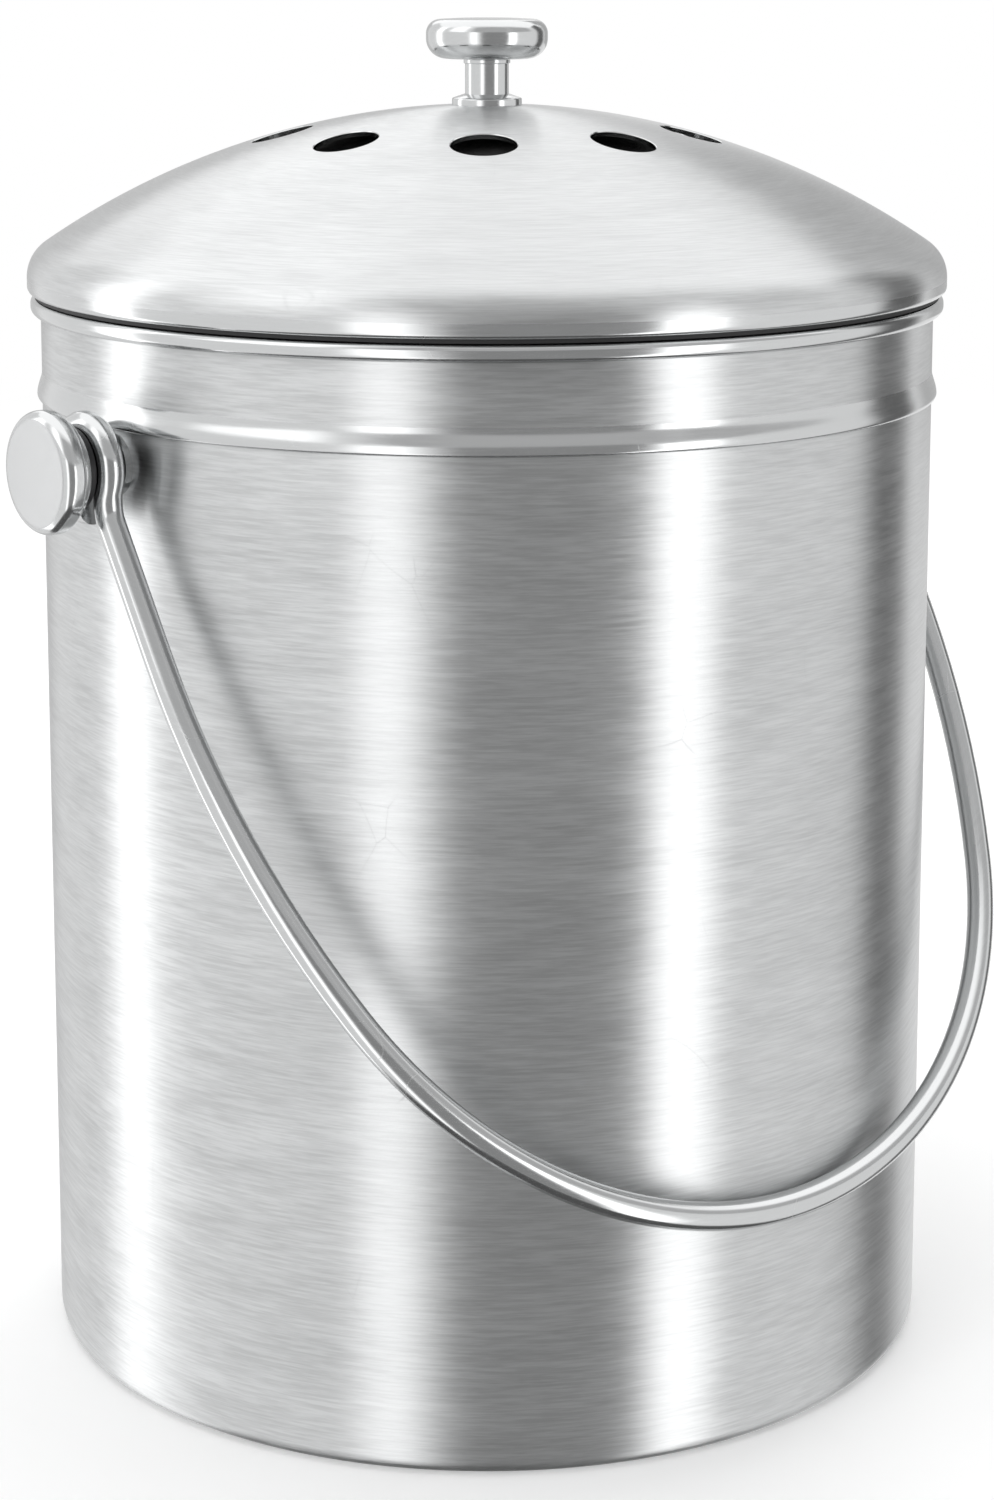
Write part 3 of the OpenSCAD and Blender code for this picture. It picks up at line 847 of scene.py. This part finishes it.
@dataclass
class Bail:
    """The bent wire handle, made from one end ring by extruding and spinning it."""

    wire: float = 2.7 * MM
    offset: float = 1.5 * MM
    eye_x: float = 96.0 * MM
    eye_radius: float = 8.0 * MM
    neck: float = 8.0 * MM
    arm: float = 40.0 * MM
    side_radius: float = 190.0 * MM
    side_angle: float = 22.5
    eye_gap: float = 58.5
    tilt: float = 33.28
    end_inset: float = 0.5 * MM
    seam: float = 0.01 * MM
    ring_sides: int = 28

    def build(self) -> None:
        """Mirrors the bent half and leans the whole on the pail."""
        wire = self.bend_half()
        apply_modifier(wire, "MIRROR", use_axis=(True, False, False), use_clip=True,
                       merge_threshold=self.seam)
        edit(wire)
        close_edit()
        wire.rotation_euler = (-math.radians(self.tilt), 0.0, 0.0)
        wire.location = (0.0, 0.0, PIVOT_HEIGHT)
        settle(wire)
        smooth(wire, sharpest=50.0)
        wear(wire, Finish.BAIL)
        fit(wire, "bail", "bail_steel", "bail_wire")

    def bend_half(self) -> bpy.types.Object:
        """Bends the wire from the middle of its grip to the end of its eye, with the pivot at the origin.

        Returns:
            The half wire, open at the grip.
        """
        side = math.radians(self.side_angle)
        grip = self.side_radius - (self.side_radius - self.eye_x) / math.cos(side)
        drop = self.arm + (self.side_radius - grip) * math.sin(side)
        neck_y = self.offset + self.neck
        neck_z = math.sqrt((self.eye_radius + self.neck) ** 2 - neck_y ** 2)
        middle = (0.0, -self.offset, -drop - grip)
        bpy.ops.object.select_all(action="DESELECT")
        bpy.ops.mesh.primitive_circle_add(vertices=self.ring_sides, radius=self.wire,
                                          location=middle, rotation=(0.0, math.pi / 2, 0.0))
        wire = bpy.context.object
        wire.name = "bail_handle"
        settle(wire)
        edit(wire)
        to_front, to_right, to_left = (0.0, -1.0, 0.0), (1.0, 0.0, 0.0), (-1.0, 0.0, 0.0)
        self.bend(math.pi / 2 - side, (0.0, -self.offset, -drop), to_front, steps=40)
        self.bend(side, (self.eye_x - self.side_radius, -self.offset, -self.arm), to_front, steps=12)
        rise = {"value": (0.0, 0.0, self.arm - neck_z)}
        bpy.ops.mesh.extrude_region_move(TRANSFORM_OT_translate=rise)
        self.bend(math.atan2(neck_z, neck_y), (self.eye_x, -neck_y, -neck_z), to_right, steps=12)
        self.bend(math.radians(360.0 - self.eye_gap), (self.eye_x, 0.0, 0.0), to_left, steps=60)
        self.close_end()
        close_edit(clean=False)
        return wire

    def bend(self, angle: float, centre: tuple[float, ...], axis: tuple[float, ...], steps: int) -> None:
        """Bends wire from the selected ring, by radians anticlockwise as seen from the axis's tip."""
        # The operator counts its angles clockwise.
        bpy.ops.mesh.spin(steps=steps, angle=-angle, center=centre, axis=axis)

    def close_end(self) -> None:
        """Closes the wire's cut end flat, with a smaller face inside its last ring."""
        smaller = 1.0 - self.end_inset / self.wire
        bpy.ops.mesh.extrude_region_move(TRANSFORM_OT_translate={"value": (0.0, 0.0, 0.0)})
        bpy.ops.transform.resize(value=(smaller, smaller, smaller))
        bpy.ops.mesh.edge_face_add()


# ---- Lid ---------------------------------------------------------------------


@dataclass
class Knob:
    """The knob's rounded cap, its stem with a thin ring, and its sloped collar."""

    top_edge: float = 2.8 * MM
    low_edge: float = 4.0 * MM
    edge_turn: float = 84.0
    crown: float = 0.25 * MM
    inner_fall: float = 0.075 * MM
    ring_out: float = 0.3 * MM
    ring_high: float = 1.0 * MM
    ring_soft: float = 0.2 * MM
    collar_soft: float = 0.35 * MM
    collar_turn: float = 75.0
    cone: float = 0.7 * MM
    cap_sides: int = 144
    stem_sides: int = 96

    def cap_outline(self) -> Outline:
        """Draws the cap, whose crown is nearly flat over its inner half.

        Returns:
            The section, with both ends on the axis.
        """
        low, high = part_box("knob_cap")
        edge, crown = self.top_edge, self.crown
        draw = Outline().to(0.0, low.z)
        draw.arc(high.x - self.low_edge, low.z + self.low_edge, self.low_edge, DOWN, OUT, steps=18)
        draw.arc(high.x - edge, high.z - edge - crown, edge, OUT, self.edge_turn, steps=16)
        return draw.to(high.x / 2, high.z - self.inner_fall).to(0.0, high.z)

    def stem_outline(self) -> Outline:
        """Draws the stem, with its ring at the top.

        Returns:
            The section, with both ends on the axis.
        """
        low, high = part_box("knob_stem")
        neck, ring_low, soft = high.x - self.ring_out, high.z - self.ring_high, self.ring_soft
        draw = Outline().to(0.0, low.z).to(neck, low.z).to(neck, ring_low)
        draw.arc(high.x - soft, ring_low + soft, soft, DOWN, OUT, steps=4)
        return draw.arc(high.x - soft, high.z - soft, soft, OUT, UP, steps=4).to(0.0, high.z)

    def collar_outline(self) -> Outline:
        """Draws the collar, which slopes up to the stem.

        Returns:
            The section, with both ends on the axis.
        """
        low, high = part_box("knob_collar")
        soft = self.collar_soft
        draw = Outline().to(0.0, low.z).to(high.x, low.z)
        draw.arc(high.x - soft, high.z - self.cone - soft, soft, OUT, self.collar_turn, steps=5)
        return draw.to(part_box("knob_stem")[1].x, high.z).to(0.0, high.z)

    def build(self) -> None:
        """Turns the three pieces and polishes them."""
        pieces = (
            ("knob_top", self.cap_outline(), self.cap_sides, "knob_cap"),
            ("knob_post", self.stem_outline(), self.stem_sides, "knob_stem"),
            ("knob_flange", self.collar_outline(), self.stem_sides, "knob_collar"),
        )
        for name, outline, sides, node in pieces:
            piece = turned(name, outline, sides)
            wear(piece, Finish.POLISHED)
            fit(piece, "lid", "polished_steel", node)


@dataclass
class Lid:
    """The domed lid with its vents, knob, seal and inner ring."""

    sheet: float = 1.0 * MM
    dome: float = 159.0 * MM
    shoulder: float = 7.7 * MM
    skirt: float = 2.9 * MM
    corner: float = 1.2 * MM
    hem_bore: float = 87.1 * MM
    screw_hole: float = 2.2 * MM
    vents: int = 9
    vent_radius: float = 6.4 * MM
    vent_circle: float = 41.5 * MM
    vent_chamfer: float = 0.16 * MM
    vent_turn: float = 230.0
    vent_sides: int = 72
    dome_steps: int = 92
    sides: int = 264
    knob: Knob = field(default_factory=Knob)

    def centre_z(self) -> float:
        """Gives the height of the dome's centre, from the edge of the screw's hole at its top."""
        top_gap = self.dome - math.sqrt(self.dome ** 2 - self.screw_hole ** 2)
        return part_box("lid_dome")[1].z + top_gap - self.dome

    def outline(self) -> Outline:
        """Draws the section: over the dome, round the hem and back under it.

        Returns:
            The closed section.
        """
        low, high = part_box("lid_dome")
        centre, sheet = self.centre_z(), self.sheet
        shoulder_x, shoulder_z = high.x - self.shoulder, low.z + self.skirt
        hem_x, hem_z = high.x - self.corner, low.z + self.corner
        lean = math.degrees(math.atan2(shoulder_z - centre, shoulder_x))
        draw = Outline().arc(0.0, centre, self.dome, UP, lean, self.dome_steps)
        draw.arc(shoulder_x, shoulder_z, self.shoulder, lean, OUT, steps=16)
        draw.arc(hem_x, hem_z, self.corner, OUT, DOWN, steps=8)
        draw.to(self.hem_bore, low.z).to(self.hem_bore, low.z + sheet)
        draw.arc(hem_x, hem_z, self.corner - sheet, DOWN, OUT, steps=3)
        draw.arc(shoulder_x, shoulder_z, self.shoulder - sheet, OUT, lean, steps=12)
        return draw.arc(0.0, centre, self.dome - sheet, lean, UP, self.dome_steps)

    def drill_outline(self) -> Outline:
        """Draws the vents' drill, which flares just under the dome's face to cut the chamfer.

        Returns:
            The section, with both ends on the axis and the dome's face at the origin.
        """
        rim = math.sqrt(self.dome ** 2 - self.vent_radius ** 2) - self.dome
        deep, flare, flare_low = -3 * self.sheet, self.sheet, rim - self.vent_chamfer
        draw = Outline().to(0.0, deep).to(self.vent_radius, deep).to(self.vent_radius, flare_low)
        return draw.to(self.vent_radius + flare, flare_low + flare).to(0.0, flare_low + flare)

    def cut_vents(self, shell: bpy.types.Object) -> None:
        """Drills the ring of vents square to the dome, each with a fine chamfer.

        Args:
            shell: the dome's shell.
        """
        lean = math.asin(self.vent_circle / self.dome)
        centre = Vector((0.0, 0.0, self.centre_z()))
        drills = [turned("vent_drill", self.drill_outline(), self.vent_sides)]
        while len(drills) < self.vents:
            bpy.ops.object.duplicate()
            drills.append(bpy.context.object)
        for i, drill in enumerate(drills):
            turn = math.radians(self.vent_turn + 360.0 * i / self.vents)
            out = Vector((math.sin(lean) * math.cos(turn), math.sin(lean) * math.sin(turn), math.cos(lean)))
            drill.rotation_euler = (0.0, lean, turn)
            drill.location = centre + out * self.dome
            drill.select_set(True)
        bpy.ops.object.join()
        drill = bpy.context.object
        apply_modifier(shell, "BOOLEAN", operation="DIFFERENCE", object=drill, solver="MANIFOLD")
        bpy.data.objects.remove(drill)
        smooth(shell)

    def build(self) -> None:
        """Builds the dome and the knob, and dresses the pieces inside the lid."""
        shell = turned("lid_shell", self.outline(), self.sides)
        self.cut_vents(shell)
        wear(shell, Finish.LID, Finish.POLISHED, Finish.SATIN, zone=self.zones())
        fit(shell, "lid", "brushed_lid", "lid_dome")
        self.knob.build()
        dress(Finish.PLAIN, "lid_inner_ring", "knob_screw", "knob_washer")
        dress(Finish.RUBBER, "lid_seal")

    def zones(self) -> Callable[[Vector, Vector], Finish]:
        """Plans the shell's finishes.

        Returns:
            What tells the brushed dome from the polished skirt and vents and the satin underside.
        """
        polished_share, steepest = 0.9, 0.85
        skirt_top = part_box("lid_dome")[0].z + self.skirt * polished_share
        vents_end = self.vent_circle + self.vent_radius + MM
        dome_centre = Vector((0.0, 0.0, self.centre_z()))

        def zone(centre: Vector, normal: Vector) -> Finish:
            """Tells a face's finish.

            Args:
                centre: the face's centre.
                normal: its normal.

            Returns:
                Its finish.
            """
            out = centre - dome_centre
            facing = normal.dot(out) / out.length
            in_vent = abs(facing) < steepest and math.hypot(centre.x, centre.y) < vents_end
            if centre.z < skirt_top or in_vent:
                return Finish.POLISHED
            return Finish.SATIN if facing < 0 else Finish.LID

        return zone


# ---- Filters -----------------------------------------------------------------


@dataclass
class Filters:
    """The tray that pulls out of the lid, with a foam and a carbon pad in it."""

    foam: float = 3.0 * MM
    carbon: float = 7.0 * MM
    hole: float = 8.4 * MM
    soft_edge: float = 0.9 * MM
    face_size: float = 1.3 * MM
    hollow_size: float = 3.5 * MM
    hollow_depth: float = 0.45 * MM
    sides: int = 280

    def outline(self, node: str, thickness: float) -> Outline:
        """Draws a domed pad with soft edges: its upper face and rim, then its lower face and hole.

        Args:
            node: the CAD node that it fills.
            thickness: the pad's thickness.

        Returns:
            The closed section.
        """
        high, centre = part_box(node)[1], Lid().centre_z()
        half, edge = thickness / 2, self.soft_edge
        middle = math.sqrt(self.hole ** 2 + (high.z - centre) ** 2) - half
        draw = Outline()
        for way, start, end in ((1, self.hole, high.x), (-1, high.x, self.hole)):
            radius = middle + way * half
            reaches = (start + way * edge, end - way * edge)
            first, last = (math.degrees(math.acos(reach / radius)) for reach in reaches)
            steps = int(math.radians(abs(first - last)) * radius / self.face_size)
            draw.arc(0.0, centre, radius, first, last, steps)
            rise = math.sqrt(middle ** 2 - end ** 2) + centre
            draw.to(end, rise + way * (half - edge)).to(end, rise - way * (half - edge))
        return draw.to(*draw.points[0])

    def build_pad(self, kind: str, thickness: float, finish: Finish) -> None:
        """Builds a pad with an uneven surface.

        Args:
            kind: foam or carbon.
            thickness: the pad's thickness.
            finish: its finish.
        """
        pad = turned(f"{kind}_pad", self.outline(f"{kind}_filter", thickness), self.sides)
        hollows = bpy.data.textures.new(f"{kind}_hollows", "VORONOI")
        hollows.noise_scale = self.hollow_size
        apply_modifier(pad, "DISPLACE", texture=hollows, strength=-self.hollow_depth,
                       mid_level=0.0, texture_coords="LOCAL")
        smooth(pad, sharpest=180.0)
        wear(pad, finish)
        fit(pad, "filter_holder", f"filter_{kind}", f"{kind}_filter")

    def build(self) -> None:
        """Builds both pads and dresses the tray."""
        dress(Finish.PLASTIC, "filter_tray")
        self.build_pad("foam", self.foam, Finish.FOAM)
        self.build_pad("carbon", self.carbon, Finish.CARBON)


# ---- Studio ------------------------------------------------------------------


@dataclass(frozen=True)
class PhotoView:
    """The photograph's camera, placed round the pail's axis."""

    azimuth: float = math.radians(-39.2)
    distance: float = 0.649
    height: float = 0.282
    pitch: float = math.radians(9.0)
    lens_in_pixels: float = 3205.0
    shift_right: float = 0.0067
    shift_up: float = -0.2
    sensor_in_mm: float = 36.0
    nearest: float = 0.01
    farthest: float = 100.0

    def build(self) -> None:
        """Makes the camera and makes it the scene's."""
        back = Vector((math.sin(self.azimuth), -math.cos(self.azimuth), 0.0))
        place = back * self.distance + Vector((0.0, 0.0, self.height))
        bpy.ops.object.camera_add(location=place, rotation=(math.pi / 2 - self.pitch, 0.0, self.azimuth))
        camera = bpy.context.object
        camera.name = "photo_camera"
        camera.data.sensor_width = self.sensor_in_mm
        camera.data.lens = self.lens_in_pixels / max(PHOTO_SIZE) * self.sensor_in_mm
        camera.data.shift_x = self.shift_right
        camera.data.shift_y = self.shift_up
        camera.data.clip_start = self.nearest
        camera.data.clip_end = self.farthest
        bpy.context.scene.camera = camera


def hang_card(card: bpy.types.Object, name: str, level: float,
              mask: Callable[[NodeSheet], bpy.types.NodeSocket]) -> None:
    """Names a card, makes it glow and lets only shiny pieces see it.

    Args:
        card: the card.
        name: its name.
        level: the glow's strength.
        mask: makes the mask that lets the glow through.
    """
    card.name = name
    material, sheet, shader = new_material(f"{name}_glow")
    sheet.tree.nodes.remove(shader)
    glow = sheet.fill(sheet.add("ShaderNodeEmission"), {"Strength": level})
    sheet.show_mix(mask(sheet), sheet.add("ShaderNodeBsdfTransparent"), glow)
    material.cycles.emission_sampling = "NONE"
    card.data.materials.append(material)
    card.visible_camera = False
    card.visible_diffuse = False
    card.visible_shadow = False
    card.visible_volume_scatter = False


@dataclass(frozen=True)
class SoftCard:
    """A flat card far out of the picture.

    All its angles are degrees as seen from the pail: where it stands, its width, how low and
    high it reaches, and how softly its upright edges fade.
    """

    name: str
    angle: float
    width: float
    level: float
    low: float = -65.0
    high: float = 50.0
    soft: float = 3.0
    distance: float = 3.0

    def build(self, camera_azimuth: float) -> None:
        """Stands the card up, facing the pail.

        Args:
            camera_azimuth: the camera's azimuth in radians, from which angle is measured.
        """
        azimuth = camera_azimuth + math.radians(self.angle)
        out = Vector((math.sin(azimuth), -math.cos(azimuth), 0.0))
        bottom, top = self.across(self.low), self.across(self.high)
        bpy.ops.object.select_all(action="DESELECT")
        # The plane reaches 1 m out from its middle, so its scale is half the card's size.
        bpy.ops.mesh.primitive_plane_add(size=2.0)
        card = bpy.context.object
        card.scale = (self.across(self.width / 2 + self.soft), (top - bottom) / 2, 1.0)
        bpy.ops.object.transform_apply(location=False, rotation=False, scale=True)
        card.location = out * self.distance + Vector((0.0, 0.0, (top + bottom) / 2))
        card.rotation_euler = (math.pi / 2, 0.0, azimuth)
        hang_card(card, self.name, self.level, self.mask)

    def across(self, angle: float) -> float:
        """Gives the length on the card that an angle covers, from the line straight out to it."""
        return self.distance * math.tan(math.radians(angle))

    def mask(self, sheet: NodeSheet) -> bpy.types.NodeSocket:
        """Makes the mask that fades the card out at both upright edges.

        Args:
            sheet: the sheet of the card's material.

        Returns:
            The mask's socket.
        """
        side = sheet.math("ABSOLUTE", sheet.split(sheet.where())[0])
        inner, outer = (self.across(self.width / 2 + edge) for edge in (-self.soft, self.soft))
        return sheet.span(side, inner, outer, to_low=1.0, to_high=0.0)


@dataclass(frozen=True)
class OverheadSheet:
    """A round level sheet high above or far below the pail."""

    name: str
    height: float
    behind: float
    radius: float
    level: float
    soft: float
    sides: int = 48

    def build(self, camera_azimuth: float) -> None:
        """Hangs the sheet.

        Args:
            camera_azimuth: the camera's azimuth in radians.
        """
        away = Vector((-math.sin(camera_azimuth), math.cos(camera_azimuth), 0.0)) * self.behind
        bpy.ops.object.select_all(action="DESELECT")
        bpy.ops.mesh.primitive_circle_add(vertices=self.sides, radius=self.radius, fill_type="NGON")
        disc = bpy.context.object
        disc.location = away + Vector((0.0, 0.0, self.height))
        hang_card(disc, self.name, self.level, self.mask)

    def mask(self, sheet: NodeSheet) -> bpy.types.NodeSocket:
        """Makes the mask that fades the sheet out at its edge, on its material's node sheet."""
        reach = sheet.length(sheet.where())
        return sheet.span(reach, self.radius - self.soft, self.radius, to_low=1.0, to_high=0.0)


@dataclass(frozen=True)
class SoftLamp:
    """A square lamp that faces the pail's foot. Shiny pieces see the cards instead of it."""

    name: str
    place: tuple[float, float, float]
    size: float
    power: float

    def build(self) -> None:
        """Hangs the lamp."""
        bpy.ops.object.light_add(type="AREA", location=self.place)
        lamp = bpy.context.object
        lamp.name = self.name
        lamp.data.size = self.size
        lamp.data.energy = self.power
        lamp.rotation_euler = (-Vector(self.place)).to_track_quat("-Z", "Y").to_euler()
        lamp.visible_glossy = False


@dataclass
class Studio:
    """A plain pale floor, soft lamps and cards round the pail."""

    view: PhotoView = field(default_factory=PhotoView)
    floor_half: float = 40.0
    floor_drop: float = 0.1 * MM
    floor_tone: Colour = (0.93, 0.93, 0.93)
    floor_lift: float = 0.16
    pool_radius: float = 0.55
    pool_fade: float = 0.9
    world_level: float = 0.55
    lamps: tuple[SoftLamp, ...] = (
        SoftLamp("overhead_lamp", (0.0, 0.15, 1.9), size=1.8, power=16.0),
        SoftLamp("left_lamp", (-1.5, -0.5, 0.9), size=1.0, power=6.0),
        SoftLamp("right_lamp", (1.3, 0.6, 0.9), size=1.0, power=6.0),
    )
    cards: tuple[SoftCard, ...] = (
        SoftCard("left_softbox", -102.0, 15.0, 2.4),
        SoftCard("far_left_wall", -132.0, 36.0, 0.98, soft=6.0),
        SoftCard("bright_gap", -25.0, 15.0, 2.0, high=22.0, soft=4.5),
        SoftCard("camera_side_flag", 15.0, 51.0, 0.36, high=24.0, soft=5.0),
        SoftCard("right_window", 50.3, 15.5, 2.5, high=18.0, soft=3.5),
        SoftCard("right_flag", 122.0, 22.0, 0.16, soft=5.0),
        SoftCard("left_top_softbox", -60.0, 36.0, 1.9, low=22.0, high=62.0, soft=6.0, distance=2.9),
        SoftCard("front_top_flag", 10.0, 76.0, 0.62, low=23.0, high=63.0, soft=6.0, distance=2.8),
        SoftCard("right_top_flag", 72.0, 44.0, 0.62, low=20.0, high=63.0, soft=5.0, distance=2.7),
        SoftCard("left_back_flag", -166.0, 34.0, 0.66, high=24.0, soft=6.0, distance=2.5),
        SoftCard("right_back_flag", 155.0, 30.0, 0.55, low=-4.0, high=40.0, soft=6.0, distance=2.6),
    )
    sheets: tuple[OverheadSheet, ...] = (
        OverheadSheet("overhead_softbox", height=2.4, behind=3.2, radius=4.5, level=1.55, soft=0.9),
        OverheadSheet("low_flag", height=-3.0, behind=0.0, radius=2.7, level=0.12, soft=0.7),
    )

    def build(self) -> None:
        """Builds the camera, the world, the floor, the lamps and the cards."""
        self.view.build()
        self.build_world()
        self.build_floor()
        for lamp in self.lamps:
            lamp.build()
        for card in self.cards + self.sheets:
            card.build(self.view.azimuth)

    def build_world(self) -> None:
        """Makes a world that is white to the eye and to shiny pieces, and softer as a light."""
        world = bpy.data.worlds.new("studio_world")
        bpy.context.scene.world = world
        world.use_nodes = True
        sheet = NodeSheet(world.node_tree)
        path = sheet.add("ShaderNodeLightPath")
        seen = sheet.math("MAXIMUM", path.outputs["Is Camera Ray"], path.outputs["Is Glossy Ray"])
        seen = sheet.math("MAXIMUM", seen, path.outputs["Is Transmission Ray"])
        strength = sheet.span(seen, 0.0, 1.0, self.world_level, 1.0)
        background = world.node_tree.nodes["Background"]
        sheet.fill(background, {"Color": (1.0, 1.0, 1.0, 1.0), "Strength": strength})

    def build_floor(self) -> None:
        """Lays the floor, which shows white round the soft shadow."""
        bpy.ops.object.select_all(action="DESELECT")
        place = (0.0, 0.0, -self.floor_drop)
        bpy.ops.mesh.primitive_plane_add(size=2 * self.floor_half, location=place)
        floor = bpy.context.object
        floor.name = "pale_floor"
        material, sheet, shader = new_material("pale_floor")
        away = sheet.length(sheet.where())
        fade = sheet.span(away, self.pool_radius, self.pool_radius + self.pool_fade)
        seen = sheet.add("ShaderNodeLightPath").outputs["Is Camera Ray"]
        lift = sheet.math("MULTIPLY", seen, self.floor_lift)
        sheet.fill(shader, {"Base Color": (*self.floor_tone, 1.0), "Roughness": 1.0,
                            "Specular IOR Level": 0.0, "Emission Color": (1.0, 1.0, 1.0, 1.0),
                            "Emission Strength": lift})
        sheet.show_mix(sheet.math("MULTIPLY", fade, seen), shader, sheet.add("ShaderNodeEmission"))
        material.cycles.emission_sampling = "NONE"
        floor.data.materials.append(material)
        floor.visible_glossy = False


def main() -> None:
    """Builds the studio, and then the pail's sub-assemblies."""
    bpy.context.scene.view_settings.view_transform = "Standard"
    Studio().build()
    for part in (Pail(), Bail(), Lid(), Filters()):
        part.build()
        log.info("%s built", type(part).__name__)


if __name__ == "__main__":
    logging.basicConfig(level=logging.INFO, format="%(message)s")
    main()
